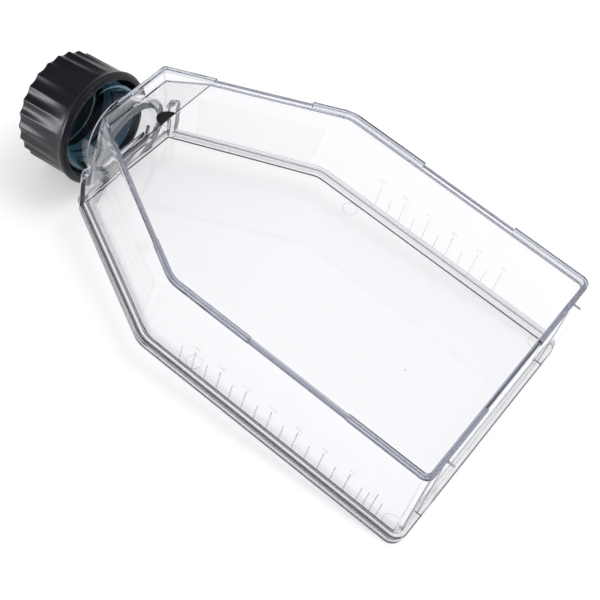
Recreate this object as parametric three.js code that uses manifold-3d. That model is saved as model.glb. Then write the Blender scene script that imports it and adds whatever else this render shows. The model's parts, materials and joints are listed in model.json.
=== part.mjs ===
// A cell culture flask of the 75 cm2 size: a clear moulded body with a canted neck, a clear plate
// welded under it, and a black screw cap with a loose sealing disc. Millimetres, +Z up.
// The flask is built square in its own frame: X runs from the neck (-X) to the base end (x = 0),
// Y across it, and Z up from the plate's outer face. It is then tipped as it lies on a table, on
// its plate's far edge and on its cap.
import * as THREE from "three";
import { mergeVertices } from "three/addons/utils/BufferGeometryUtils.js";
import Module from "manifold-3d";

const wasm = await Module();
wasm.setup();

// ---- driving sizes ----
const BODY_LENGTH = 127.8;           // from the flange's base edge to the front wall
const RIM_HALF_WIDTH = 38.6;         // half the width over the side walls at the rim
const RIM_HEIGHT = 33.2;             // plate's outer face to the rim's low stretches
const RIM_RAISE = 0.5;               // how much higher the rim's raised stretches stand
const RIM_WIDTH = 1.0;
const RIM_LAND_PROUD = 0.35;         // the raised stretches are this much thicker outwards
const RIM_LAND_DEPTH = 1.2;          // and reach this far down the wall
const PANEL_DROP = 1.0;              // the panel lies this far below the rim's low stretches
const PANEL_THICKNESS = 1.3;
const WALL = 1.3;
const SIDE_DRAFT = 0.7;              // the walls stand this much wider at the plate
const BASE_DRAFT = 1.0;
const SHOULDER_START_TOP = 81.3;     // base edge to the bend, at the rim
const SHOULDER_START_PLATE = 85.6;   // the same, at the plate
const FRONT_HALF_WIDTH_TOP = 12.6;
const FRONT_HALF_WIDTH_PLATE = 17.6;
const BASE_CORNER_RADIUS = 2.4;
const BEND_RADIUS = 9.0;
const FRONT_CORNER_RADIUS = 1.0;

const RAMP_LENGTH = 10.6;            // the panel's slope down to the front wall
const RAMP_DROP = 3.2;
const RAMP_TO_FRONT = 1.6;           // the slope ends this far behind the front wall's outer face

const FLANGE_WIDTH_SIDE = 2.2;
const FLANGE_WIDTH_BASE = 1.0;
const FLANGE_THICKNESS = 1.0;
const PLATE_THICKNESS = 1.3;
const GAP = 0.3;                     // between pieces that meet

const FIN_SPACING = 61.0;            // between the two fins on the base end wall
const FIN_THICKNESS = 0.8;
const FIN_PROUD = 0.35;              // beyond the flange's base edge
const FIN_TOP_CLEARANCE = 1.2;       // below the rim's low stretches
const CORNER_RIB_HEIGHT = 14.8;
const CORNER_RIB_DEPTH = 1.6;
const KNOB_RADIUS = 1.1;

// The rim's raised stretches end here, as distances from the base edge.
const SIDE_STEP_NEAR = 26.4;
const SIDE_STEP_FAR = 56.5;
const SHOULDER_STEP_NEAR = 91.4;
const SHOULDER_STEP_FAR = 115.1;
const BASE_STEP_HALF_WIDTH = 13.0;
const FRONT_STEP_Y = -6.2;           // the front wall's raised stretch starts here

const NECK_TILT = THREE.MathUtils.degToRad(12.2);
const NECK_HEIGHT = 11.7;            // of the neck's axis, at the front wall
const NECK_LENGTH = 23.0;
const NECK_RADIUS = 12.9;
const NECK_WALL = 1.6;
const NECK_ROOT_STEP = 1.1;          // the neck is this much thicker at its root
const NECK_ROOT_LENGTH = 2.4;
const NECK_LIP_CHAMFER = 0.5;
const SILL_HEIGHT = 5.6;             // the front wall under the neck's bore
const SILL_DEPTH = 2.2;

const CAP_LENGTH = 18.1;
const CAP_WALL = 2.2;                // from the bore to the ribs' tips
const CAP_RIB_DEPTH = 0.65;
const CAP_RIBS = 25;
const CAP_BEAD_PROUD = 0.6;          // the bead stands this far beyond the ribs
const CAP_BEAD_WIDTH = 2.4;
const CAP_MOUTH_STEP = 0.7;          // the mouth is this much wider than the bore
const CAP_MOUTH_DEPTH = 3.0;
const CAP_EDGE_RADIUS = 0.6;
const CAP_END_THICKNESS = 1.9;
const THREAD_ROOM = 1.6;             // between the neck and the cap's bore
const LINER_ROOM = 0.4;              // between the liner's edge and the cap's bore
const LINER_THICKNESS = 1.0;

// ---- places worked out from them ----
const FRONT_X = -BODY_LENGTH;
const PANEL_Z = RIM_HEIGHT - PANEL_DROP;
const RIM_TOP = RIM_HEIGHT + RIM_RAISE;
const BODY_FLOOR = PLATE_THICKNESS + GAP;
const RAMP_END_X = FRONT_X + RAMP_TO_FRONT;
const RAMP_START_X = RAMP_END_X + RAMP_LENGTH;
const RAMP_END_Z = PANEL_Z - RAMP_DROP;
const NECK_BORE_RADIUS = NECK_RADIUS - NECK_WALL;
const NECK_ROOT_RADIUS = NECK_RADIUS + NECK_ROOT_STEP;
const CAP_BORE_RADIUS = NECK_RADIUS + THREAD_ROOM;
const CAP_MOUTH_RADIUS = CAP_BORE_RADIUS + CAP_MOUTH_STEP;
const CAP_RIB_RADIUS = CAP_BORE_RADIUS + CAP_WALL;
const CAP_BEAD_RADIUS = CAP_RIB_RADIUS + CAP_BEAD_PROUD;
const LINER_RADIUS = CAP_BORE_RADIUS - LINER_ROOM;
const LINER_START = NECK_LENGTH + GAP;
const CAP_INNER_END = LINER_START + LINER_THICKNESS + GAP;
const CAP_END = CAP_INNER_END + CAP_END_THICKNESS;
const CAP_START = CAP_END - CAP_LENGTH;
const OVERSHOOT = 5;                 // how far a cutter runs past what it cuts
const PRISM_HALF_WIDTH = RIM_HALF_WIDTH + 3 * OVERSHOOT;

const ARC_STEPS = 8;
const ROUND_STEPS = 96;
const WALL_LEVEL_HEIGHT = 4;         // a twisted wall is made in levels about this high

// ---- solids: manifold-3d joins and cuts closed meshes ----
function toSolid(geometry) {
  const bare = geometry.clone();
  bare.deleteAttribute("normal");
  bare.deleteAttribute("uv");
  const merged = mergeVertices(bare, 1e-5);
  const mesh = new wasm.Mesh({
    numProp: 3,
    vertProperties: new Float32Array(merged.attributes.position.array),
    triVerts: new Uint32Array(merged.index.array),
  });
  mesh.merge();
  return new wasm.Manifold(mesh);
}

function toGeometry(solid) {
  const mesh = solid.getMesh();
  const geometry = new THREE.BufferGeometry();
  geometry.setAttribute("position", new THREE.BufferAttribute(mesh.vertProperties, 3));
  geometry.setIndex(new THREE.BufferAttribute(mesh.triVerts, 1));
  const flat = geometry.toNonIndexed();
  flat.computeVertexNormals();
  return flat;
}

function box(x0, x1, y0, y1, z0, z1) {
  const geometry = new THREE.BoxGeometry(x1 - x0, y1 - y0, z1 - z0);
  geometry.translate((x0 + x1) / 2, (y0 + y1) / 2, (z0 + z1) / 2);
  return toSolid(geometry);
}

// A prism of an XZ profile, running across the flask.
function prismAcross(profile, halfWidth) {
  const shape = new THREE.Shape(profile.map(([x, z]) => new THREE.Vector2(x, z)));
  const geometry = new THREE.ExtrudeGeometry(shape, { depth: 2 * halfWidth, bevelEnabled: false });
  geometry.rotateX(Math.PI / 2);
  geometry.translate(0, halfWidth, 0);
  return toSolid(geometry);
}

// A closed skin through a stack of outlines that have as many points, each at its height.
function loft(outlines, heights) {
  const count = outlines[0].length;
  const last = (outlines.length - 1) * count;
  const positions = outlines.flatMap((outline, i) => outline.flatMap(([x, y]) => [x, y, heights[i]]));
  const index = [];
  for (let below = 0; below < last; below += count) {
    for (let i = 0; i < count; i += 1) {
      const a = below + i;
      const b = below + ((i + 1) % count);
      index.push(a, b, b + count, a, b + count, a + count);
    }
  }
  const toVectors = (outline) => outline.map(([x, y]) => new THREE.Vector2(x, y));
  const closing = (outline) => THREE.ShapeUtils.triangulateShape(toVectors(outline), []);
  for (const [a, b, c] of closing(outlines[0])) index.push(c, b, a);
  for (const [a, b, c] of closing(outlines.at(-1))) index.push(last + a, last + b, last + c);
  const geometry = new THREE.BufferGeometry();
  geometry.setAttribute("position", new THREE.Float32BufferAttribute(positions, 3));
  geometry.setIndex(index);
  return toSolid(geometry);
}

function upright(outline, zLow, zHigh) {
  return loft([outline, outline], [zLow, zHigh]);
}

// ---- the flask's outline ----
// Moves each edge of a convex outline inwards and meets the edges again.
function insetCorners(corners, distance) {
  const edges = corners.map(([x, y], i) => {
    const [nextX, nextY] = corners[(i + 1) % corners.length];
    const length = Math.hypot(nextX - x, nextY - y);
    const direction = [(nextX - x) / length, (nextY - y) / length];
    return { x: x - direction[1] * distance, y: y + direction[0] * distance, direction };
  });
  return corners.map((_, i) => {
    const before = edges[(i + edges.length - 1) % edges.length];
    const after = edges[i];
    const cross = before.direction[0] * after.direction[1] - before.direction[1] * after.direction[0];
    const dx = after.x - before.x;
    const dy = after.y - before.y;
    const along = (dx * after.direction[1] - dy * after.direction[0]) / cross;
    return [before.x + before.direction[0] * along, before.y + before.direction[1] * along];
  });
}

// Rounds each corner of a convex outline, always with the same number of points.
function roundCorners(corners, radii) {
  const outline = [];
  corners.forEach(([x, y], i) => {
    const corner = new THREE.Vector2(x, y);
    const before = new THREE.Vector2(...corners[(i + corners.length - 1) % corners.length]);
    const after = new THREE.Vector2(...corners[(i + 1) % corners.length]);
    const toBefore = before.clone().sub(corner).normalize();
    const toAfter = after.clone().sub(corner).normalize();
    const halfAngle = Math.acos(toBefore.dot(toAfter)) / 2;
    const radius = Math.max(radii[i], 0.2);
    const middle = toBefore.clone().add(toAfter).normalize();
    const centre = corner.clone().addScaledVector(middle, radius / Math.sin(halfAngle));
    const reach = radius / Math.tan(halfAngle);
    const start = corner.clone().addScaledVector(toBefore, reach).sub(centre);
    const turn = Math.PI - 2 * halfAngle;
    for (let step = 0; step <= ARC_STEPS; step += 1) {
      const spoke = start.clone().rotateAround(new THREE.Vector2(), (turn * step) / ARC_STEPS);
      outline.push([centre.x + spoke.x, centre.y + spoke.y]);
    }
  });
  return outline;
}

function hexagon(baseX, sideY, bendX, frontY) {
  return [
    [baseX, -sideY],
    [baseX, sideY],
    [bendX, sideY],
    [FRONT_X, frontY],
    [FRONT_X, -frontY],
    [bendX, -sideY],
  ];
}

function cornerRadii(grow) {
  const base = BASE_CORNER_RADIUS + grow;
  const bend = BEND_RADIUS + grow;
  const front = FRONT_CORNER_RADIUS + grow;
  return [base, base, bend, front, front, bend];
}

// The outer outline of the walls at a height above the plate's outer face, moved in by inset.
function wallOutline(z, inset = 0) {
  const rise = z / RIM_HEIGHT;
  const between = (atPlate, atRim) => atPlate + (atRim - atPlate) * rise;
  const corners = hexagon(
    -FLANGE_WIDTH_BASE - BASE_DRAFT * rise,
    between(RIM_HALF_WIDTH + SIDE_DRAFT, RIM_HALF_WIDTH),
    -between(SHOULDER_START_PLATE, SHOULDER_START_TOP),
    between(FRONT_HALF_WIDTH_PLATE, FRONT_HALF_WIDTH_TOP),
  );
  return roundCorners(insetCorners(corners, inset), cornerRadii(-inset));
}

function wallLoft(zLow, zHigh, inset) {
  const levels = Math.max(1, Math.round((zHigh - zLow) / WALL_LEVEL_HEIGHT));
  const heights = Array.from({ length: levels + 1 }, (_, i) => zLow + ((zHigh - zLow) * i) / levels);
  return loft(heights.map((z) => wallOutline(z, inset)), heights);
}

function flangeOutline() {
  const sideY = RIM_HALF_WIDTH + SIDE_DRAFT + FLANGE_WIDTH_SIDE;
  const slope = Math.atan2(sideY - FRONT_HALF_WIDTH_PLATE, BODY_LENGTH - SHOULDER_START_PLATE);
  const bendX = -SHOULDER_START_PLATE - FLANGE_WIDTH_SIDE * Math.tan(slope / 2);
  const corners = hexagon(0, sideY, bendX, FRONT_HALF_WIDTH_PLATE + FLANGE_WIDTH_SIDE);
  return roundCorners(corners, cornerRadii(1));
}

// ---- flask body ----
// The region under (or over) the panel and its ramp, lowered by drop.
function panelProfile(drop, limitZ) {
  const beyondFront = (RAMP_END_X - FRONT_X + OVERSHOOT) * (RAMP_DROP / RAMP_LENGTH);
  return [
    [OVERSHOOT, PANEL_Z - drop],
    [RAMP_START_X, PANEL_Z - drop],
    [FRONT_X - OVERSHOOT, RAMP_END_Z - drop - beyondFront],
    [FRONT_X - OVERSHOOT, limitZ],
    [OVERSHOOT, limitZ],
  ];
}

function makeShell() {
  const outside = wallLoft(BODY_FLOOR, RIM_HEIGHT, 0);
  const cavity = wallLoft(BODY_FLOOR - OVERSHOOT, RIM_HEIGHT, WALL)
    .intersect(prismAcross(panelProfile(PANEL_THICKNESS, -2 * OVERSHOOT), PRISM_HALF_WIDTH));
  return outside.subtract(cavity).subtract(makeRecess());
}

// The sunk panel inside the rim.
function makeRecess() {
  return wallLoft(RAMP_END_Z - OVERSHOOT, RIM_TOP + OVERSHOOT, RIM_WIDTH)
    .intersect(prismAcross(panelProfile(0, RIM_TOP + 2 * OVERSHOOT), PRISM_HALF_WIDTH));
}

// The rim's raised stretches, which are also thicker than the wall under them.
function makeRimLands() {
  let lands = wallLoft(RIM_HEIGHT - RIM_LAND_DEPTH, RIM_TOP, -RIM_LAND_PROUD).subtract(makeRecess());
  for (const gap of makeRimGaps()) lands = lands.subtract(gap);
  return lands;
}

// The rim's low stretches, as boxes that part its raised ones.
function makeRimGaps() {
  const outY = RIM_HALF_WIDTH + OVERSHOOT;
  const low = RIM_HEIGHT - OVERSHOOT;
  const high = RIM_TOP + OVERSHOOT;
  const sideY = RIM_HALF_WIDTH - OVERSHOOT;
  return [
    box(-SIDE_STEP_FAR, -SIDE_STEP_NEAR, sideY, outY, low, high),
    box(-SIDE_STEP_FAR, -SIDE_STEP_NEAR, -outY, -sideY, low, high),
    box(-SHOULDER_STEP_FAR, -SHOULDER_STEP_NEAR, 0, outY, low, high),
    box(FRONT_X - OVERSHOOT, -SHOULDER_STEP_NEAR, -outY, FRONT_STEP_Y, low, high),
    box(-2 * OVERSHOOT, OVERSHOOT, -BASE_STEP_HALF_WIDTH, BASE_STEP_HALF_WIDTH, low, high),
  ];
}

function makeFlange() {
  const top = BODY_FLOOR + FLANGE_THICKNESS;
  const hole = wallLoft(BODY_FLOOR - OVERSHOOT, top + OVERSHOOT, WALL / 2);
  return upright(flangeOutline(), BODY_FLOOR, top).subtract(hole);
}

function makeFin(side) {
  const middle = (side * FIN_SPACING) / 2;
  const inside = -FLANGE_WIDTH_BASE - BASE_DRAFT - WALL / 2;
  const top = RIM_HEIGHT - FIN_TOP_CLEARANCE;
  const half = FIN_THICKNESS / 2;
  return box(inside, FIN_PROUD, middle - half, middle + half, BODY_FLOOR, top)
    .subtract(wallLoft(BODY_FLOOR - OVERSHOOT, RIM_TOP, WALL / 2));
}

// The flange turns up at each front corner as a short rib that ends in a knob.
function makeCornerRib(side) {
  const rib = upright(flangeOutline(), BODY_FLOOR, CORNER_RIB_HEIGHT)
    .subtract(wallLoft(BODY_FLOOR - OVERSHOOT, RIM_TOP, WALL / 2))
    .intersect(box(FRONT_X - 1, FRONT_X + CORNER_RIB_DEPTH,
      side > 0 ? 0 : -RIM_HALF_WIDTH, side > 0 ? RIM_HALF_WIDTH : 0, 0, CORNER_RIB_HEIGHT));
  const knob = new THREE.SphereGeometry(KNOB_RADIUS, 16, 12);
  const knobY = FRONT_HALF_WIDTH_PLATE + FLANGE_WIDTH_SIDE / 2 - KNOB_RADIUS / 2;
  knob.translate(FRONT_X + CORNER_RIB_DEPTH / 2, side * knobY, CORNER_RIB_HEIGHT);
  return rib.add(toSolid(knob));
}

// Turned pieces are made about +Z and laid along the neck's axis, which leaves the front wall
// forwards and down.
const NECK_ROTATION = new THREE.Euler(0, -(Math.PI / 2 + NECK_TILT), 0);
const NECK_ORIGIN = new THREE.Vector3(FRONT_X, 0, NECK_HEIGHT);

function turned(profile) {
  const points = profile.map(([radius, along]) => new THREE.Vector2(radius, along));
  const geometry = new THREE.LatheGeometry(points, ROUND_STEPS);
  geometry.rotateX(Math.PI / 2);
  return geometry;
}

function alongNeck(geometry) {
  const placement = new THREE.Matrix4().makeRotationFromEuler(NECK_ROTATION);
  placement.setPosition(NECK_ORIGIN);
  return geometry.clone().applyMatrix4(placement);
}

function makeNeck() {
  const start = -OVERSHOOT;
  const tube = turned([
    [0, start],
    [NECK_ROOT_RADIUS, start],
    [NECK_ROOT_RADIUS, NECK_ROOT_LENGTH],
    [NECK_RADIUS, NECK_ROOT_LENGTH + NECK_ROOT_RADIUS - NECK_RADIUS],
    [NECK_RADIUS, NECK_LENGTH - NECK_LIP_CHAMFER],
    [NECK_RADIUS - NECK_LIP_CHAMFER, NECK_LENGTH],
    [0, NECK_LENGTH],
  ]);
  const reach = 2 * NECK_LENGTH;
  const outsideFront = box(FRONT_X - reach, FRONT_X + WALL / 2, -reach, reach, -reach, reach);
  return toSolid(alongNeck(tube)).intersect(outsideFront);
}

function makeBore() {
  const bore = turned([
    [0, -OVERSHOOT],
    [NECK_BORE_RADIUS, -OVERSHOOT],
    [NECK_BORE_RADIUS, NECK_LENGTH + OVERSHOOT],
    [0, NECK_LENGTH + OVERSHOOT],
  ]);
  const sill = box(FRONT_X - SILL_DEPTH, FRONT_X + 2 * OVERSHOOT, -RIM_HALF_WIDTH, RIM_HALF_WIDTH,
    -RIM_HEIGHT, SILL_HEIGHT);
  return toSolid(alongNeck(bore)).subtract(sill);
}

function makeBody() {
  const plateRoom = box(FRONT_X - GAP, OVERSHOOT, -2 * RIM_HALF_WIDTH, 2 * RIM_HALF_WIDTH,
    -RIM_HEIGHT, BODY_FLOOR);
  let body = makeShell().add(makeRimLands()).add(makeFlange());
  for (const side of [-1, 1]) body = body.add(makeFin(side)).add(makeCornerRib(side));
  return body.add(makeNeck()).subtract(plateRoom).subtract(makeBore());
}

function makePlate() {
  return upright(flangeOutline(), 0, PLATE_THICKNESS);
}

// ---- cap and liner, about +Z ----
// The ribbed skirt: shallow round flutes that meet in narrow ribs.
function makeSkirt(start, end) {
  const steps = CAP_RIBS * 10;
  const ring = (shrink) => Array.from({ length: steps }, (_, i) => {
    const angle = (2 * Math.PI * i) / steps;
    const flute = Math.abs(Math.cos((CAP_RIBS * angle) / 2));
    const radius = CAP_RIB_RADIUS - shrink - CAP_RIB_DEPTH * flute;
    return [radius * Math.cos(angle), radius * Math.sin(angle)];
  });
  return loft([ring(0), ring(0), ring(CAP_EDGE_RADIUS)], [start, end - CAP_EDGE_RADIUS, end]);
}

function makeBead() {
  const radius = CAP_BEAD_WIDTH / 2;
  const inner = CAP_MOUTH_RADIUS - 1;
  const profile = [[inner, CAP_START]];
  for (let step = 0; step <= ARC_STEPS; step += 1) {
    const angle = -Math.PI / 2 + (Math.PI * step) / ARC_STEPS;
    profile.push([
      CAP_BEAD_RADIUS - radius + radius * Math.cos(angle),
      CAP_START + radius + radius * Math.sin(angle),
    ]);
  }
  profile.push([inner, CAP_START + CAP_BEAD_WIDTH], [inner, CAP_START]);
  return toSolid(turned(profile));
}

function makeCap() {
  const hollow = toSolid(turned([
    [0, CAP_START - OVERSHOOT],
    [CAP_MOUTH_RADIUS, CAP_START - OVERSHOOT],
    [CAP_MOUTH_RADIUS, CAP_START + CAP_MOUTH_DEPTH - CAP_MOUTH_RADIUS + CAP_BORE_RADIUS],
    [CAP_BORE_RADIUS, CAP_START + CAP_MOUTH_DEPTH],
    [CAP_BORE_RADIUS, CAP_INNER_END],
    [0, CAP_INNER_END],
  ]));
  const skirt = makeSkirt(CAP_START + CAP_BEAD_WIDTH / 2, CAP_END);
  return toGeometry(skirt.add(makeBead()).subtract(hollow));
}

function makeLiner() {
  return toGeometry(toSolid(turned([
    [0, LINER_START],
    [LINER_RADIUS, LINER_START],
    [LINER_RADIUS, LINER_START + LINER_THICKNESS],
    [0, LINER_START + LINER_THICKNESS],
  ])));
}

// ---- the model ----
const clearPlastic = new THREE.MeshStandardMaterial({
  color: 0xe8ecf0, roughness: 0.08, metalness: 0, transparent: true, opacity: 0.4,
});
const blackPlastic = new THREE.MeshStandardMaterial({ color: 0x17171a, roughness: 0.38, metalness: 0 });
const linerRubber = new THREE.MeshStandardMaterial({ color: 0xd9d6cc, roughness: 0.7, metalness: 0 });

function named(name, geometry, material) {
  const mesh = new THREE.Mesh(geometry, material);
  mesh.name = name;
  return mesh;
}

const neckGroup = new THREE.Group();
neckGroup.rotation.copy(NECK_ROTATION);
neckGroup.position.copy(NECK_ORIGIN);
neckGroup.add(named("screw_cap", makeCap(), blackPlastic));
neckGroup.add(named("cap_liner", makeLiner(), linerRubber));

const flask = new THREE.Group();
flask.add(named("flask_body", toGeometry(makeBody()), clearPlastic));
flask.add(named("cover_plate", toGeometry(makePlate()), clearPlastic));
flask.add(neckGroup);

// Lying down, the flask touches the table with the plate's base edge and the cap's lowest point.
function restingTilt() {
  flask.updateMatrixWorld(true);
  const cap = neckGroup.children[0];
  const positions = cap.geometry.attributes.position;
  const point = new THREE.Vector3();
  let tilt = 0;
  for (let i = 0; i < positions.count; i += 1) {
    point.fromBufferAttribute(positions, i).applyMatrix4(cap.matrixWorld);
    tilt = Math.max(tilt, Math.atan2(-point.z, -point.x));
  }
  return tilt;
}

const part = new THREE.Group();
part.add(flask);
flask.rotation.y = restingTilt();
part.updateMatrixWorld(true);
const bounds = new THREE.Box3().setFromObject(part, true);
flask.position.x = -(bounds.min.x + bounds.max.x) / 2;
flask.position.z = -bounds.min.z;

export default part;
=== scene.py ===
"""Looks of a clear cell culture flask with a black screw cap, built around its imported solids.

Named sizes and sizes inside the shapes' formulas are millimetres, and MM turns them into metres;
settings, meshes and lamps are metres. The flask's own frame is square to it: X runs from the neck
(-X) to the base edge (x = 0), Y across, Z up from the cover plate's outer face. FLASK places that
frame in the shared frame, where the flask lies tipped on its plate's edge and on its cap. NECK is
the frame of the turned pieces, with Z out along the neck.
"""

import json
import math
from contextlib import contextmanager

import bmesh
import bpy
import numpy as np
from bpy.props import FloatProperty, FloatVectorProperty, IntProperty, PointerProperty
from mathutils import Euler, Matrix, Vector


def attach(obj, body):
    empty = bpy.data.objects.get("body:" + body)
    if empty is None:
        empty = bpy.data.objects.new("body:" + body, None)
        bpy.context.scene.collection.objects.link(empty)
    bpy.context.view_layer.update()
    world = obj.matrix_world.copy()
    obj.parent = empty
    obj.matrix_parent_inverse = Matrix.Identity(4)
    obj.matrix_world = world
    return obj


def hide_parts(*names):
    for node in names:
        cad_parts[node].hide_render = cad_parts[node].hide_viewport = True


bl_info = {
    "name": "Cell Culture Flask",
    "version": (1, 0, 0),
    "blender": (4, 5, 0),
    "location": "View3D > Sidebar > Flask",
    "description": "Builds a clear culture flask with a fluted screw cap and its studio",
    "category": "Object",
}

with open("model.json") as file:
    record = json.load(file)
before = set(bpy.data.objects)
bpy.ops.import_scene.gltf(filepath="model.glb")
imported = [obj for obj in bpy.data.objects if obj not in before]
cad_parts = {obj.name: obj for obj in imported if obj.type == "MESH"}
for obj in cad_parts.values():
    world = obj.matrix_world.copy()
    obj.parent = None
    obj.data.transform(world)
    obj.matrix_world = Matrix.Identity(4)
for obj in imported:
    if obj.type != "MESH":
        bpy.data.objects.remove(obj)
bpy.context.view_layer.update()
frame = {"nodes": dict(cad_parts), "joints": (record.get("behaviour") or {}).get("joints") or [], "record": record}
MM = 0.001
UP = np.array((0.0, 0.0, 1.0))

# ---- sizes of the moulding, in millimetres, in the flask's frame ----
BODY_LENGTH = 127.8
RIM_HEIGHT = 33.2
RIM_HALF_WIDTH = 38.6
SIDE_DRAFT = 0.7  # the walls stand this much wider at the plate
BEND_AT_PLATE, BEND_AT_RIM = 85.6, 81.3
FRONT_AT_PLATE, FRONT_AT_RIM = 17.6, 12.6
SHOULDER_SLANT = math.atan2(RIM_HALF_WIDTH - FRONT_AT_RIM, BODY_LENGTH - BEND_AT_RIM)
PANEL_HEIGHT = 32.2
PLATE_TOP = 1.3
WALL = 1.3
FLANGE_AT_BASE = 1.0  # the flange stands this far out of the base end wall
FOOT_ROUNDS = (2.4, 2.4, 9.0, 1.0, 1.0, 9.0)  # radius of each corner of the wall's foot
RAMP_START = -115.6
RAMP_SLOPE = 3.2 / 10.6
RAMP_HALF_WIDTH = 17.6

# ---- marks of the moulding, in millimetres ----
# Weld lines: distance in from the wall's foot, width, height, share of the width on the far side.
WELD_LAND = (-1.08, 1.20, 0.20, 0.45)
WELD_FLASH = ((WALL + 0.45, 0.46, 0.26, 1.0), (0.28, 0.30, 0.22, 1.0), (-1.08, 0.42, 0.26, 0.45))
SEAM_AT_BASE = 0.35  # share of a weld line's width along the base end
RIB_BACK, RIB_MIDDLE, RIB_LEVELS = -126.15, 20.05, (2.2, 14.2)
# Scales: first mark's x, spacing, count, foot, low and tall tops, first tall mark, its number.
LEFT_SCALE = (-73.8, 4.2, 15, 3.4, (10.6, 12.4), 1, 160)
FINE_SCALE = (-12.9, 2.1, 3, 3.4, (11.0, 13.4), 1, None)
RIGHT_SCALE = (-65.6, 4.22, 11, 5.2, (11.6, 14.8), 0, 150)
NUMBER_GAP = 1.0  # from a mark's top to its number's foot
PIN_RINGS = ((-71.2, 35.1), (-71.2, -35.1), (-5.0, 35.9), (-5.0, -35.9))
PIN_RING_RADIUS = 2.15
PLATE_DOT, PLATE_DOT_RADIUS = (-27.5, 1.9), 0.22
GATE_CENTRE = (RAMP_START, 0.35)
GATE_REACH, GATE_HALF_WIDTH = 3.5, 2.85
PANEL_ALONG = (0.10, 0.80)  # shares of the shoulder wall, from the bend to the front
PANEL_LEVELS = (6.0, 22.8)

# ---- sizes of the turned pieces, in millimetres, along the neck's axis ----
NECK_RADIUS = 12.9
THREAD_FROM, THREAD_TO = -17.4, -4.9  # from the cap's closed end
CAP_LENGTH = 18.1
CAP_END = 1.9  # thickness of the closed end
CAP_RIB_RADIUS = 16.7
CAP_BEAD_RADIUS = 17.3
CAP_BORE_RADIUS = 14.5
CAP_MOUTH_RADIUS = 15.2
CAP_THREAD_FROM, CAP_THREAD_TO = -14.6, -4.2
CAP_THREAD_HEIGHT = 0.95
CAP_END_TO_FRONT_WALL = 26.5  # the cap's closed end stands this far out along the axis
LINER_RADIUS = 14.1
LINER_FROM_END = 2.2  # the cap's closed end to the liner's outer face
LINER_THICKNESS = 1.0

# ---- where the neck's tint and the rim's painted shade start, in millimetres ----
NECK_TINT_START, NECK_TINT_BLEND = 7.0, 6.0  # out from the front wall, along the neck
# Painted shade: the rim's top, from this depth below it, is tinted darker to stand in for the dark band of the
# clear rim.
RIM_SHADE_DEPTH, RIM_SHADE_BLEND = 0.35, 0.2  # below the rim's top

# ---- stage, in metres and degrees; the camera's place in millimetres, in the flask's frame ----
CAMERA_PLACE = (9.8, -182.8, 289.0)
CAMERA_TURN = (32.78, -10.71, 37.73)
CAMERA_LENS, CAMERA_SENSOR = 75.1, 36
LIGHT_STEPS = 48  # light is led a long way inside the clear walls
FLOOR_HALF = 3.0
FLOOR_PAINT, FLOOR_GLOW = 0.66, 0.41
SKY_COLOUR, SKY_STRENGTH = (0.99, 0.99, 1.0), 0.72
BRIGHT_SIDE = (0.45, 0.55, 0.70)  # the way to the studio's bright side; cosines are to it
DIM_COSINE, DIM_COLOUR = 0.35, (0.06, 0.06, 0.08)
BRIGHT_COSINE, BRIGHT_COLOUR = 0.80, (0.96, 0.96, 0.965)


# ---- places read from the frame ----
def flask_frame():
    """The flask's frame: the plate face's normal gives the tilt, the plate's lowest edge x = 0."""
    plate = next(m for m in frame["record"]["mounts"] if m["name"] == "cover_plate_face")
    tilt = math.atan2(-plate["axis"][0], -plate["axis"][2])
    lowest = min(frame["nodes"]["cover_plate"].data.vertices, key=lambda v: v.co.z).co
    edge = Vector((lowest.x, 0, lowest.z))
    return Matrix.Translation(edge) @ Matrix.Rotation(tilt, 4, "Y")


def neck_frame():
    """The neck's frame: origin at the middle of the cap's closed end, X up, Z outwards."""
    turn = next(j for j in frame["joints"] if j["name"] == "cap_turn")
    axis = Vector(turn["axis"]).normalized()
    across = Vector((0, 1, 0))
    up = across.cross(axis)
    point = Vector(turn["pos_m"])
    along = [(Vector(v.co) - point).dot(axis) for v in frame["nodes"]["screw_cap"].data.vertices]
    origin = point + axis * max(along)
    axes = Matrix((up, across, axis)).transposed().to_4x4()
    return Matrix.Translation(origin) @ axes


FLASK = flask_frame()
NECK = neck_frame()


# ---- user settings ----
def length_setting(least=0.0, **given):
    return FloatProperty(min=least, subtype="DISTANCE", unit="LENGTH", **given)


def colour_setting(**given):
    return FloatVectorProperty(subtype="COLOR", min=0.0, max=1.0, **given)


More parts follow.
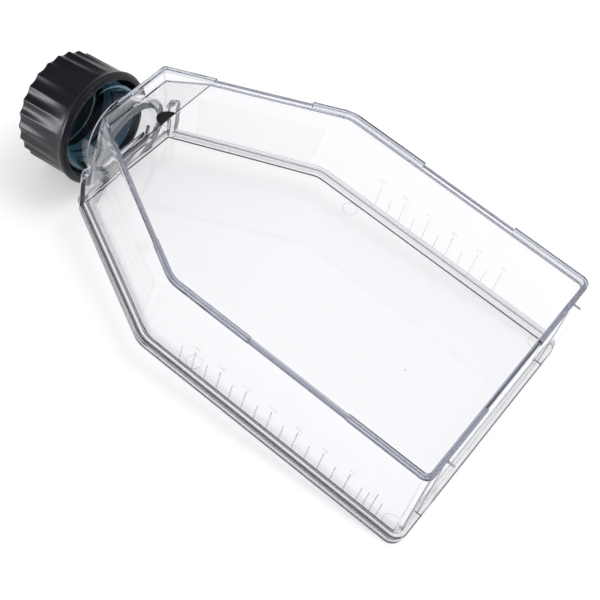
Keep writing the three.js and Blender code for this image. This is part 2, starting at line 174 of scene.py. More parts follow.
class FlaskSettings(bpy.types.PropertyGroup):
    """Sizes and colours of the flask that a user would change."""
    edge_radius: length_setting(
        name="Edge radius", description="Rounding of the mouldings' edges", default=0.12 * MM)
    thread_pitch: length_setting(
        name="Thread pitch", description="How far the cap rises in one turn",
        default=4.0 * MM, least=1.0 * MM)
    flute_count: IntProperty(
        name="Flutes", description="Number of flutes round the cap", default=25, min=3)
    flute_depth: length_setting(
        name="Flute depth", description="Depth of the cap's flutes below its ribs",
        default=0.62 * MM)
    mark_width: length_setting(
        name="Mark width", description="Width of the raised lines of the scales",
        default=0.36 * MM)
    number_size: length_setting(
        name="Number size", description="Height of the scales' numbers", default=1.9 * MM)
    plastic_ior: FloatProperty(
        name="Plastic IOR", description="Index of refraction of the clear plastic",
        default=1.59, min=1.3, max=1.8)
    plastic_colour: colour_setting(
        name="Plastic colour", description="Tint of the clear plastic's surface",
        default=(0.995, 0.995, 0.995))
    # Painted shade: this darker tint on the rim's top stands in for the dark band that the clear rim shows, not a
    # colour of the plastic.
    rim_colour: colour_setting(
        name="Rim colour", description="Tint of the stacking rim's top",
        default=(0.55, 0.59, 0.67))
    neck_colour: colour_setting(
        name="Neck colour", description="Tint of the threaded neck inside the cap",
        default=(0.70, 0.91, 0.96))
    thread_colour: colour_setting(
        name="Thread colour", description="Colour of the thread's thick turns",
        default=(0.12, 0.25, 0.31))
    depth_colour: colour_setting(
        name="Depth colour", description="What light keeps of its colour in thick plastic",
        default=(0.55, 0.56, 0.66))
    depth_density: FloatProperty(
        name="Depth density", description="How fast thick plastic darkens, per metre",
        default=45.0, min=0.0)
    cap_colour: colour_setting(
        name="Cap colour", description="Colour of the cap's black plastic",
        default=(0.007, 0.007, 0.010))
    liner_colour: colour_setting(
        name="Liner colour", description="Colour of the cap's sealing disc",
        default=(0.010, 0.026, 0.036))
    # Painted shade: this grey stands in for the dark and bright lines that the clear raised lines, rings and
    # numbers show by bending light.
    mark_colour: colour_setting(
        name="Mark colour", description="Colour of the raised lines, rings and numbers",
        default=(0.42, 0.42, 0.44))


def settings():
    return bpy.context.scene.flask_settings


# ---- mesh helpers ----
def link(name, data):
    holder = bpy.data.objects.new(name, data)
    bpy.context.scene.collection.objects.link(holder)
    return holder


def at(x, y, z):
    """A point given in millimetres, as an array in metres."""
    return np.array((x, y, z)) * MM


def carried(points, matrix):
    """Points (N x 3, in metres) carried into the shared frame by a 4 x 4 matrix."""
    m = np.array(matrix)
    return points @ m[:3, :3].T + m[:3, 3]


def grid_quads(rows, cols, wrap_rows=False, wrap_cols=True):
    """Quads of a grid whose points run row by row; a wrapped direction closes on itself."""
    i = np.arange(rows if wrap_rows else rows - 1)[:, None]
    j = np.arange(cols if wrap_cols else cols - 1)[None, :]
    here = i * cols + j
    right = i * cols + (j + 1) % cols
    above = (i + 1) % rows * cols + j
    across = (i + 1) % rows * cols + (j + 1) % cols
    return np.stack([here, right, across, above], -1).reshape(-1, 4)


def closed_sheet(above, below):
    """A thin closed sheet between two grids of points (rows x cols x 3), walled round its rim."""
    rows, cols = above.shape[:2]
    size = rows * cols
    quads = grid_quads(rows, cols, wrap_cols=False)
    place = np.arange(size).reshape(rows, cols)
    rim = np.concatenate([place[0], place[1:, -1], place[-1, -2::-1], place[-2:0:-1, 0]])
    after = np.roll(rim, -1)
    wall = np.stack([rim, after, after + size, rim + size], -1)
    points = np.vstack([above.reshape(-1, 3), below.reshape(-1, 3)])
    return points, [*quads, *(quads[:, ::-1] + size), *wall]


def read(items, label, kind=float, width=1):
    """One property of all of a mesh's items, as an array with width columns."""
    values = np.empty(len(items) * width, kind)
    items.foreach_get(label, values)
    return values.reshape(-1, width) if width > 1 else values


@contextmanager
def edited(mesh):
    bm = bmesh.new()
    bm.from_mesh(mesh)
    yield bm
    bm.to_mesh(mesh)
    bm.free()


def solid(name, parts, matrix, smooth_degrees=35):
    """One object of closed surfaces, given as (points, faces) pairs, with faces turned outwards."""
    offset, points, faces = 0, [], []
    for part_points, part_faces in parts:
        points.append(part_points)
        faces += [tuple(int(k) + offset for k in face) for face in part_faces]
        offset += len(part_points)
    mesh = bpy.data.meshes.new(name)
    mesh.from_pydata(carried(np.vstack(points), matrix).tolist(), [], faces)
    with edited(mesh) as bm:
        bmesh.ops.recalc_face_normals(bm, faces=bm.faces)
    mesh.shade_smooth()
    mesh.set_sharp_from_angle(angle=math.radians(smooth_degrees))
    return link(name, mesh)


def turned(radius, height):
    """A closed surface about Z: row i stands at height[i], its points radius[i, j] from the axis.

    The angle runs evenly over a full turn, and a point on the axis closes each end.
    """
    rows, cols = radius.shape
    angle = np.arange(cols) * 2 * math.pi / cols
    level = np.broadcast_to(height[:, None], radius.shape)
    points = np.stack([radius * np.cos(angle), radius * np.sin(angle), level], -1).reshape(-1, 3)
    points = np.vstack([points, [[0, 0, height[0]], [0, 0, height[-1]]]])
    j = np.arange(cols)
    k = (j + 1) % cols
    first = np.stack([k, j, np.full(cols, rows * cols)], -1)
    last = np.stack([j, k, np.full(cols, rows * cols + 1)], -1)
    last[:, :2] += (rows - 1) * cols
    return points, [*grid_quads(rows, cols), *first, *last]


def swept(path, side, proud, profile, scale=None):
    """A closed bar: a profile of (across, out) pairs carried along the path's points.

    Point i, j is path[i] + across[j] * side[i] + out[j] * proud[i], with the profile shrunk by
    scale[i]; a path without scale is a loop and closes on itself.
    """
    looped = scale is None
    size = np.ones(len(path)) if looped else scale
    across, out = profile[:, 0], profile[:, 1]
    points = (path[:, None, :]
              + (size[:, None] * across)[..., None] * side[:, None, :]
              + (size[:, None] * out)[..., None] * proud[:, None, :])
    rows, cols = len(path), len(profile)
    faces = list(grid_quads(rows, cols, wrap_rows=looped))
    if not looped:
        faces += [tuple(range(cols)), tuple((rows - 1) * cols + j for j in range(cols))]
    return points.reshape(-1, 3), faces


def low_ridge(width, height, steps=5):
    """Half an ellipse standing on its flat side: the profile of a raised line, in metres."""
    angle = np.linspace(0, math.pi, steps)
    return np.stack([width / 2 * np.cos(angle), height * np.sin(angle)], -1)


def raised_line(start, end, normal, width, height):
    """A low ridge along a straight line on a face, with short tapered ends."""
    start, end, normal = (np.asarray(v, float) for v in (start, end, normal))
    along = (end - start) / np.linalg.norm(end - start)
    taper = along * width / 2
    path = np.array([start, start + taper, end - taper, end])
    side = np.broadcast_to(np.cross(normal, along), path.shape)
    proud = np.broadcast_to(normal, path.shape)
    return swept(path, side, proud, low_ridge(width, height), np.array([0.3, 1, 1, 0.3]))


def raised_ring(place, level, radius, width, height, half=False, steps=40):
    """A low ridge along a level circle, or along its half nearer the base end; in millimetres."""
    if half:
        angle = np.linspace(-math.pi / 2, math.pi / 2, steps)
    else:
        angle = np.arange(steps) * 2 * math.pi / steps
    spoke = np.stack([np.cos(angle), np.sin(angle), np.zeros(steps)], -1)
    proud = np.broadcast_to(UP, spoke.shape)
    profile = low_ridge(width * MM, height * MM)
    path = at(*place, level) + radius * MM * spoke
    return swept(path, spoke, proud, profile, np.ones(steps) if half else None)


def flat_region_normals(mesh, flat_area=25 * MM * MM, flat_degrees=6, round_degrees=50,
                        turn_steps=700, level_step=0.004 * MM):
    """Corner normals that keep large flat regions optically flat.

    Each corner takes the mean of the normals of the facets that meet at its point within the
    smoothing angle, weighted by the area of the whole plane each facet belongs to. A facet of a
    large plane blends only with nearly level ones. Facets share a plane where their normals, in
    turn_steps, and their planes' distances, in level_step, round to the same whole numbers.
    """
    normal = read(mesh.polygons, "normal", width=3)
    centre = read(mesh.polygons, "center", width=3)
    area = read(mesh.polygons, "area")
    face = np.repeat(np.arange(len(area)), read(mesh.polygons, "loop_total", int))
    point = read(mesh.loops, "vertex_index", int)
    plane = np.column_stack([normal * turn_steps, (normal * centre).sum(1) / level_step])
    region = np.unique(np.round(plane).astype(np.int64), axis=0, return_inverse=True)[1].ravel()
    weight = np.bincount(region, weights=area)[region]
    order = np.argsort(point, kind="stable")
    met = np.bincount(point, minlength=len(mesh.vertices))
    first = np.concatenate([[0], np.cumsum(met)[:-1]])
    table = np.full((len(mesh.vertices), met.max()), -1)
    table[point[order], np.arange(len(order)) - first[point[order]]] = face[order]
    near = table[point]
    facing = np.einsum("lkc,lc->lk", normal[near], normal[face])
    limit = np.where(weight[face] > flat_area, flat_degrees, round_degrees)
    share = (near >= 0) * (facing > np.cos(np.radians(limit))[:, None]) * weight[near]
    corner = np.einsum("lkc,lk->lc", normal[near], share)
    length = np.linalg.norm(corner, axis=1, keepdims=True)
    corner = np.where(length > 0, corner / np.maximum(length, 1e-20), [0.0, 0.0, 1.0])
    mesh.shade_smooth()
    mesh.normals_split_custom_set(corner.tolist())


def softened_copy(node, name, width, merge=2e-6, sliver=2e-7, level_degrees=0.03, edge_degrees=35):
    """A CAD node's own shape with its triangles merged to flat faces and its edges rounded.

    Points nearer than merge are joined, facets within level_degrees become one face, and edges
    sharper than edge_degrees are rounded; the rounding's slivers are then cleared away.
    """
    mesh = frame["nodes"][node].data.copy()
    mesh.materials.clear()
    with edited(mesh) as bm:
        bmesh.ops.remove_doubles(bm, verts=bm.verts, dist=merge)
        bmesh.ops.dissolve_limit(bm, angle_limit=math.radians(level_degrees), verts=bm.verts,
                                 edges=bm.edges, delimit={"NORMAL"})
    draft = link(name + "_draft", mesh)
    bevel = draft.modifiers.new("soft_edges", "BEVEL")
    bevel.limit_method = "ANGLE"
    bevel.angle_limit = math.radians(edge_degrees)
    bevel.width = width
    bevel.segments = 2
    bevel.use_clamp_overlap = False
    finished = evaluated_mesh(draft)
    finished.name = name
    bpy.data.meshes.remove(mesh)
    with edited(finished) as bm:
        bmesh.ops.remove_doubles(bm, verts=bm.verts, dist=sliver)
        bmesh.ops.dissolve_degenerate(bm, edges=bm.edges, dist=sliver)
        passed = [v for v in bm.verts if len(v.link_edges) == 2]
        bmesh.ops.dissolve_verts(bm, verts=passed)
    flat_region_normals(finished)
    return link(name, finished)


def evaluated_mesh(holder):
    """The mesh that an object's modifiers or text give; the object is removed."""
    view = bpy.context.evaluated_depsgraph_get()
    mesh = bpy.data.meshes.new_from_object(holder.evaluated_get(view))
    bpy.data.objects.remove(holder)
    return mesh


# ---- node groups and materials ----
def feed(node, inputs):
    """Gives each input a number, a colour's three numbers, an output or a node's first output."""
    for label, value in inputs.items():
        socket = node.inputs[label]
        if isinstance(value, bpy.types.Node):
            value = value.outputs[0]
        if isinstance(value, bpy.types.NodeSocket):
            node.id_data.links.new(value, socket)
        elif socket.type == "RGBA":
            socket.default_value = (*value, 1)
        else:
            socket.default_value = value
    return node


def add_node(tree, kind, inputs=None):
    return feed(tree.nodes.new("ShaderNode" + kind), inputs or {})


def math_node(tree, operation, *values):
    """A Math node's result; each value is a number or a socket."""
    node = add_node(tree, "Math", dict(enumerate(values)))
    node.operation = operation
    return node.outputs[0]


def height_above(tree, value, level):
    """How far value is above level, and 0 below it."""
    return math_node(tree, "MAXIMUM", math_node(tree, "SUBTRACT", value, level), 0.0)


def blended(tree, first, second, factor):
    """A colour that goes from first to second as factor goes from 0 to 1."""
    node = add_node(tree, "Mix")
    node.data_type = "RGBA"
    return feed(node, {"A": first, "B": second, "Factor": factor}).outputs["Result"]


def either_shader(tree, choice, first, second):
    """The first shader where choice is 0, the second where it is 1."""
    return add_node(tree, "MixShader", {0: choice, 1: first, 2: second})


def length_along(tree, vector, axis):
    """A vector's length along an axis: their dot product."""
    node = add_node(tree, "VectorMath", {0: vector, 1: axis})
    node.operation = "DOT_PRODUCT"
    return node.outputs["Value"]


def ray_is(tree, *kinds):
    """1 for a ray of any of the kinds, else 0."""
    path = add_node(tree, "LightPath")
    found, *others = [path.outputs[f"Is {kind} Ray"] for kind in kinds]
    for other in others:
        found = math_node(tree, "MAXIMUM", found, other)
    return found


def noise(tree, vector, scale, detail=2.0):
    node = add_node(tree, "TexNoise", {"Vector": vector, "Scale": scale, "Detail": detail})
    return node.outputs["Fac"]


def handling_wear():
    """Fine rubs from handling: thin scratches in two directions and soft cloudy patches.

    Scratches are a stretched noise where it crosses a thin band near its middle, kept where a
    coarse noise is high; patches are a middling noise where it is above its mean. Rub is their
    sum in 0..1, Grain a fine noise for the Height.
    """
    name = "handling_wear"
    if name in bpy.data.node_groups:
        return bpy.data.node_groups[name]
    group = bpy.data.node_groups.new(name, "ShaderNodeTree")
    for label, side in (("Scratches", "INPUT"), ("Patches", "INPUT"), ("Grain size", "INPUT"),
                        ("Rub", "OUTPUT"), ("Grain", "OUTPUT")):
        group.interface.new_socket(label, in_out=side, socket_type="NodeSocketFloat")
    start = group.nodes.new("NodeGroupInput")
    end = group.nodes.new("NodeGroupOutput")
    where = add_node(group, "TexCoord").outputs["Object"]
    lines = []
    for turn, stretch in ((0.5, (60, 900, 900)), (-0.9, (900, 70, 900))):
        mapping = add_node(group, "Mapping", {
            "Vector": where, "Rotation": (0.2, 0.1, turn), "Scale": stretch})
        value = noise(group, mapping, 1.0, 1.0)
        away = math_node(group, "ABSOLUTE", math_node(group, "SUBTRACT", value, 0.5))
        thin = math_node(group, "SUBTRACT", 1.0, math_node(group, "MULTIPLY", away, 45.0))
        lines.append(math_node(group, "MAXIMUM", thin, 0.0))
    gate = math_node(group, "MULTIPLY", height_above(group, noise(group, where, 55.0), 0.55), 6.0)
    scratch = math_node(group, "MULTIPLY", math_node(group, "MAXIMUM", *lines), gate)
    scratch = math_node(group, "MULTIPLY", scratch, start.outputs["Scratches"])
    patch = height_above(group, noise(group, where, 120.0, 4.0), 0.45)
    patch = math_node(group, "MULTIPLY", patch, start.outputs["Patches"])
    rub = math_node(group, "ADD", scratch, patch)
    rub.node.use_clamp = True
    feed(end, {"Rub": rub, "Grain": noise(group, where, start.outputs["Grain size"], 3.0)})
    return group


def wear_node(tree, scratches, patches, grain_size):
    node = tree.nodes.new("ShaderNodeGroup")
    node.node_tree = handling_wear()
    return feed(node, {"Scratches": scratches, "Patches": patches, "Grain size": grain_size})


def cleared_tree(owner):
    """A material's or a world's node tree, with nothing in it."""
    owner.use_nodes = True
    owner.node_tree.nodes.clear()
    return owner.node_tree


def new_material(name):
    """A material with a Principled shader and an output, and its tree."""
    material = bpy.data.materials.new(name)
    tree = cleared_tree(material)
    shader = add_node(tree, "BsdfPrincipled")
    out = add_node(tree, "OutputMaterial", {"Surface": shader})
    return material, tree, shader, out


def roughened(tree, shader, wear, low, gain):
    """Roughness = low + gain * rub."""
    rub = math_node(tree, "MULTIPLY", wear.outputs["Rub"], gain)
    feed(shader, {"Roughness": math_node(tree, "ADD", rub, low)})


def lets_lamps_through(tree, glass, out, square_on, edge_on):
    """Glass for sight and a tinted clear film for shadow and diffuse rays, darker seen edge-on."""
    facing = add_node(tree, "LayerWeight", {"Blend": 0.3}).outputs["Facing"]
    film = add_node(tree, "BsdfTransparent", {"Color": blended(tree, square_on, edge_on, facing)})
    unbent = ray_is(tree, "Shadow", "Diffuse")
    feed(out, {"Surface": either_shader(tree, unbent, glass, film)})


def past_plane(tree, point, axis, blend):
    """0 up to a plane through point, rising smoothly to 1 past it along the axis."""
    where = add_node(tree, "TexCoord").outputs["Object"]
    start = point.dot(axis)
    ramp = add_node(tree, "MapRange", {
        "Value": length_along(tree, where, axis), "From Min": start, "From Max": start + blend})
    ramp.interpolation_type = "SMOOTHSTEP"
    return ramp.outputs[0]


def down_the_neck(tree):
    """0 on the flask, rising to 1 past a plane square to the neck, out from the front wall."""
    axis = NECK.to_3x3().col[2]
    start = NECK.translation - axis * (CAP_END_TO_FRONT_WALL - NECK_TINT_START) * MM
    return past_plane(tree, start, axis, NECK_TINT_BLEND * MM)


def on_the_rim(tree):
    """Mask of the rim's painted shade: 1 on the stacking rim's top, 0 on all that lies lower."""
    point = FLASK @ Vector((0, 0, (RIM_HEIGHT - RIM_SHADE_DEPTH) * MM))
    return past_plane(tree, point, FLASK.to_3x3().col[2], RIM_SHADE_BLEND * MM)


def clear_plastic():
    """Clear moulded polystyrene: bends light, darkens with depth, tinted down the neck, with painted shade on the
    rim's top.
    """
    name = "clear_polystyrene"
    if name in bpy.data.materials:
        return bpy.data.materials[name]
    material, tree, glass, out = new_material(name)
    tint = blended(tree, settings().plastic_colour, settings().neck_colour, down_the_neck(tree))
    # Painted shade: a darker tint on the rim's top stands in for the clear rim's dark band.
    tint = blended(tree, tint, settings().rim_colour, on_the_rim(tree))
    feed(glass, {"Base Color": tint, "IOR": settings().plastic_ior, "Transmission Weight": 1})
    wear = wear_node(tree, scratches=0.35, patches=0.0, grain_size=700.0)
    roughened(tree, glass, wear, low=0.0, gain=0.22)
    lets_lamps_through(tree, glass, out, square_on=(0.996, 0.996, 0.996),
                       edge_on=(0.957, 0.957, 0.963))
    depth = add_node(tree, "VolumeAbsorption", {
        "Color": settings().depth_colour, "Density": settings().depth_density})
    feed(out, {"Volume": depth})
    return material


def thread_plastic():
    """The neck's thread turns: the same plastic, thick and tinted, with a satin moulded skin."""
    material, tree, glass, out = new_material("thread_polystyrene")
    wear = wear_node(tree, scratches=0.3, patches=0.8, grain_size=500.0)
    colour = settings().thread_colour
    shaded = blended(tree, colour, [c * 0.6 for c in colour], wear.outputs["Rub"])
    feed(glass, {"Base Color": shaded, "IOR": settings().plastic_ior, "Transmission Weight": 0.25})
    roughened(tree, glass, wear, low=0.08, gain=0.3)
    lets_lamps_through(tree, glass, out, square_on=(0.55, 0.85, 0.88), edge_on=(0.3, 0.6, 0.65))
    return material


def moulded_skin(name, colour, worn, rub, rough, grain_depth, inputs=None):
    """An opaque skin: where it is rubbed, its colour goes to worn and its roughness rises.

    rub is the scratches, patches and grain size; rough is the plain roughness and the rub's gain.
    """
    material, tree, shader, _ = new_material(name)
    wear = wear_node(tree, *rub)
    grain = add_node(tree, "Bump", {"Height": wear.outputs["Grain"], "Distance": grain_depth})
    feed(shader, {"Base Color": blended(tree, colour, worn, wear.outputs["Rub"]),
                  "Normal": grain, **(inputs or {})})
    roughened(tree, shader, wear, *rough)
    return material


def cap_plastic():
    """Black moulded plastic with a satin skin, finely grained and lightly rubbed."""
    colour = settings().cap_colour
    return moulded_skin("black_cap_plastic", colour, [c * 2.6 for c in colour],
                        rub=(0.6, 0.5, 1400.0), rough=(0.33, 0.25), grain_depth=0.012 * MM,
                        inputs={"Specular IOR Level": 0.28})


def liner_plastic():
    """The sealing disc's soft foamed plastic: fine pores and faint clouding."""
    colour = settings().liner_colour
    return moulded_skin("foamed_liner", colour, [c * 1.6 for c in colour],
                        rub=(0.0, 1.2, 2600.0), rough=(0.45, 0.2), grain_depth=0.05 * MM)


def mark_plastic(name, colour, alpha, rough=0.45, speckle=0.0, gloss=0.5):
    """Raised moulding as a thin skin of the given colour, part see-through; on clear ridges that colour is painted
    shade.

    Speckle adds bright scratches and specks to it.
    """
    if name in bpy.data.materials:
        return bpy.data.materials[name]
    worn = [min(1, c * 1.5 + 0.25 * speckle) for c in colour]
    return moulded_skin(name, colour, worn, rub=(0.2 + speckle, 1.0, 1800.0), rough=(rough, 0.2),
                        grain_depth=0.01 * MM,
                        inputs={"Alpha": alpha, "Specular IOR Level": gloss})


# Clear raised lines in a grey of painted shade.
def plain_mark():
    return mark_plastic("raised_marks", settings().mark_colour, alpha=0.21)


# ---- faces of the moulding, in the flask's frame ----
def side_wall(side, x, z, proud=0.0):
    """A point on a long wall's outer face, which leans in by the draft on its way up."""
    return x, side * (RIM_HALF_WIDTH + SIDE_DRAFT * (1 - z / RIM_HEIGHT) + proud), z


def shoulder_wall(side, along, z, proud=0.0):
    """Points of a slanting wall's outer face: straight from the bend to the front corner.

    along is 0 at the bend and 1 at the front; both ends slide evenly from plate to rim.
    """
    rise = z / RIM_HEIGHT
    bend = -(BEND_AT_PLATE + (BEND_AT_RIM - BEND_AT_PLATE) * rise)
    wide = RIM_HALF_WIDTH + SIDE_DRAFT * (1 - rise)
    front = FRONT_AT_PLATE + (FRONT_AT_RIM - FRONT_AT_PLATE) * rise
    x = bend + (-BODY_LENGTH - bend) * along - proud * math.sin(SHOULDER_SLANT)
    y = wide + (front - wide) * along + proud * math.cos(SHOULDER_SLANT)
    return np.stack([x, side * y, np.broadcast_to(z, x.shape)], -1)


def number(text, size, matrix):
    """A scale's number as a thin plate of its own outline, made a mesh before it is placed."""
    curve = bpy.data.curves.new("number", "FONT")
    curve.body = text
    curve.size = size
    curve.align_x = "CENTER"
    curve.extrude = 0.02 * MM
    curve.resolution_u = 3
    mesh = evaluated_mesh(link("number", curve))
    points = carried(read(mesh.vertices, "co", width=3), matrix)
    faces = [tuple(p.vertices) for p in mesh.polygons]
    bpy.data.meshes.remove(mesh)
    return points, faces


# ---- operators ----
def finish(piece, body, material, node=None):
    """Gives a piece its material and body, and hides the CAD node it stands for."""
    piece.data.materials.append(material)
    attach(piece, body)
    if node:
        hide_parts(node)


def add_marks(name, parts, material):
    """One piece of raised marks on the flask."""
    finish(solid(name, parts, FLASK), "flask", material)


class FLASK_OT_mouldings(bpy.types.Operator):
    """Rounds the edges of the clear body and cover plate and gives them their plastic"""
    bl_idname = "flask.mouldings"
    bl_label = "Clear mouldings"

    def execute(self, context):
        for node, name, slot in (("flask_body", "body_moulding", "clear_body"),
                                 ("cover_plate", "plate_moulding", "clear_plate")):
            moulding = softened_copy(node, name, settings().edge_radius)
            finish(moulding, "flask", clear_plastic(), node)
        return {"FINISHED"}


class FLASK_OT_weld_seam(bpy.types.Operator):
    """Lays the weld between the body's foot and the cover plate: its land and its dark flash"""
    bl_idname = "flask.weld_seam"
    bl_label = "Weld seam"

    def execute(self, context):
        land = mark_plastic("weld_land", (0.12, 0.125, 0.16), alpha=0.50)
        flash = mark_plastic("weld_flash", (0.03, 0.03, 0.035), alpha=0.95)
        add_marks("weld_land", [seam(*WELD_LAND)], land)
        add_marks("weld_flash", [seam(*line) for line in WELD_FLASH], flash)
        return {"FINISHED"}


class FLASK_OT_corner_ribs(bpy.types.Operator):
    """Gives the welded ribs on the two front corners their dark speckled skin"""
    bl_idname = "flask.corner_ribs"
    bl_label = "Corner ribs"

    def execute(self, context):
        ribs = []
        for y in (-RIB_MIDDLE, RIB_MIDDLE):
            ends = [at(RIB_BACK, y, z) for z in RIB_LEVELS]
            ribs.append(raised_line(*ends, (1, 0, 0), width=1.9 * MM, height=0.10 * MM))
        skin = mark_plastic("ribbed_corner", (0.035, 0.035, 0.055), alpha=0.80, speckle=2.5)
        add_marks("corner_ribs", ribs, skin)
        return {"FINISHED"}


def foot_outline(inset, steps=9):
    """The wall's foot, moved in by inset: its points and the directions out of the wall.

    Each corner's round has its centre where the two edges, moved in by inset plus the corner's
    radius, meet; the round runs from one edge's outward direction to the next one's.
    """
    side = RIM_HALF_WIDTH + SIDE_DRAFT
    corners = np.array([
        (-FLANGE_AT_BASE, -side), (-FLANGE_AT_BASE, side), (-BEND_AT_PLATE, side),
        (-BODY_LENGTH, FRONT_AT_PLATE), (-BODY_LENGTH, -FRONT_AT_PLATE), (-BEND_AT_PLATE, -side)])
    radius = np.maximum(np.array(FOOT_ROUNDS) - inset, 0.2)
    edge = np.roll(corners, -1, 0) - corners
    after = np.stack([edge[:, 1], -edge[:, 0]], -1) / np.linalg.norm(edge, axis=1, keepdims=True)
    before = np.roll(after, 1, 0)
    level = np.stack([(before * corners).sum(1), (after * corners).sum(1)], -1)
    level -= (inset + radius)[:, None]
    centre = np.linalg.solve(np.stack([before, after], 1), level[..., None])[..., 0]
    start = np.arctan2(before[:, 1], before[:, 0])
    turn = (np.arctan2(after[:, 1], after[:, 0]) - start) % (2 * math.pi)
    angle = start[:, None] + turn[:, None] * np.linspace(0, 1, steps)
    spoke = np.stack([np.cos(angle), np.sin(angle)], -1)
    return (centre[:, None] + radius[:, None, None] * spoke).reshape(-1, 2), spoke.reshape(-1, 2)


def seam(inset, width, height, far_share):
    """A low ridge along the wall's foot, standing on the plate inside the gap, in millimetres.

    Its width falls to SEAM_AT_BASE along the base end and to far_share along the far side.
    """
    outline, spoke = foot_outline(inset)
    level = np.full((len(outline), 1), PLATE_TOP)
    path = np.hstack([outline, level]) * MM
    at_base, at_far_side = np.clip(spoke, 0, 1).T[..., None]
    slim = np.maximum(1 - (1 - SEAM_AT_BASE) * at_base - (1 - far_share) * at_far_side, 0.25)
    side = np.hstack([spoke * slim, np.zeros_like(level)])
    proud = np.broadcast_to(UP, path.shape)
    return swept(path, side, proud, low_ridge(width * MM, height * MM))


class FLASK_OT_neck_thread(bpy.types.Operator):
    """Runs the raised thread round the neck, where the cap covers it"""
    bl_idname = "flask.neck_thread"
    bl_label = "Neck thread"

    def execute(self, context):
        thread = solid("neck_thread", [neck_thread()], NECK, smooth_degrees=60)
        finish(thread, "flask", thread_plastic())
        return {"FINISHED"}


def neck_thread(points_a_turn=72):
    """A rounded trapezoid carried along a right-hand helix.

    Each point is at angle a, the neck's radius and height a * pitch / turn from the start, and
    the trapezoid grows out of nothing over a fifth of a turn at both ends.
    """
    first, last = THREAD_FROM * MM, THREAD_TO * MM
    turns = (last - first) / settings().thread_pitch
    t = np.linspace(0, 1, int(turns * points_a_turn))
    angle = t * turns * 2 * math.pi
    taper = np.clip(np.minimum(t, 1 - t) * turns * 5, 0.04, 1)
    spoke = np.stack([np.cos(angle), np.sin(angle), np.zeros_like(t)], -1)
    path = spoke * NECK_RADIUS * MM
    path[:, 2] = first + t * (last - first)
    up = np.broadcast_to(UP, path.shape)
    half = np.array([(0.80, 1.02), (1.05, 0.90), (1.22, 0.60), (1.40, -0.05)])
    profile = np.vstack([half[::-1] * (-1, 1), half]) * MM
    return swept(path, up, spoke, profile, taper)


class FLASK_OT_cap(bpy.types.Operator):
    """Builds the fluted screw cap with its bead, mouth and inner thread"""
    bl_idname = "flask.cap"
    bl_label = "Screw cap"

    def execute(self, context):
        shell = solid("cap_shell", [cap_shell()], NECK, smooth_degrees=40)
        finish(shell, "cap", cap_plastic(), "screw_cap")
        return {"FINISHED"}


def arc(centre, radius, start_degrees, end_degrees, steps):
    """Points (radius from the axis, height) of a round in the cap's section, in millimetres."""
    angle = np.radians(np.linspace(start_degrees, end_degrees, steps))
    return np.stack([centre[0] + radius * np.cos(angle), centre[1] + radius * np.sin(angle)], -1)


def cap_section():
    """The cap's section as (radius, height) points, and how many of them are outside.

    It runs from the closed end's middle out and down to the mouth, then back up inside.
    """
    round_end, bead, lip = 0.7, 1.2, 0.35
    outside = np.vstack([
        [(0.3, 0), (7.0, 0), (12.0, 0), (15.0, 0)],
        arc((CAP_RIB_RADIUS - round_end, -round_end), round_end, 90, 0, 7),
        np.stack([np.full(12, CAP_RIB_RADIUS), np.linspace(-1.4, -14.4, 12)], -1),
        [(16.70, -14.9), (16.72, -15.3), (16.80, -15.65)],
        arc((CAP_BEAD_RADIUS - bead, -CAP_LENGTH + bead), bead, 52, -90, 12),
    ])
    inside = np.vstack([
        arc((CAP_MOUTH_RADIUS + lip, -CAP_LENGTH + lip), lip, -90, -180, 5),
        [(CAP_MOUTH_RADIUS, -15.8), (CAP_BORE_RADIUS, -15.1)],
        np.stack([np.full(66, CAP_BORE_RADIUS), np.linspace(-15.0, -2.2, 66)], -1),
        [(CAP_BORE_RADIUS, -CAP_END), (7.0, -CAP_END), (0.3, -CAP_END)],
    ])
    return np.vstack([outside, inside]), len(outside)


def flutes(outside, angle, soft=0.16):
    """Share of the flute depth at each point: its place's share times a softened |cos(n a / 2)|.

    The place's share is 1 near the closed end, and runs out across that end and before the bead.
    """
    radius, height = outside.T[..., None]
    share = np.clip((radius - 13.5) / 2.2, 0, 1) * np.clip((height + 15.2) / 12.4, 0, 1) ** 0.8
    c = np.cos(settings().flute_count * angle / 2)
    return share * (np.sqrt(c * c + soft * soft) - soft) / (math.sqrt(1 + soft * soft) - soft)


def inner_thread(inside, angle):
    """Share of the thread's height at each point: a soft crest where the helix passes.

    It fades out towards the closed end and the mouth.
    """
    height = inside[:, 1:]
    turns = height * MM / settings().thread_pitch - angle / (2 * math.pi)
    crest = np.clip(1.35 - np.abs((turns - 0.60) % 1 - 0.5) * 7.5, 0, 1)
    crest = crest * crest * (3 - 2 * crest)
    fade = np.clip(CAP_THREAD_TO - height, 0, 1) * np.clip((height - CAP_THREAD_FROM) / 0.9, 0, 1)
    return crest * fade


def cap_shell(points_a_flute=16):
    """The cap: a section turned about the axis.

    Its radius is the section's, less the flutes outside and less the thread inside.
    """
    section, outer = cap_section()
    cols = settings().flute_count * points_a_flute
    angle = np.arange(cols) * 2 * math.pi / cols
    cut = np.vstack([settings().flute_depth * flutes(section[:outer], angle),
                     CAP_THREAD_HEIGHT * MM * inner_thread(section[outer:], angle)])
    radius, height = section.T * MM
    return turned(radius[:, None] - cut, height)


class FLASK_OT_liner(bpy.types.Operator):
    """Turns the soft sealing disc inside the cap's closed end"""
    bl_idname = "flask.liner"
    bl_label = "Cap liner"

    def execute(self, context):
        disc = solid("liner_disc", [liner_disc()], NECK)
        finish(disc, "liner", liner_plastic(), "cap_liner")
        return {"FINISHED"}


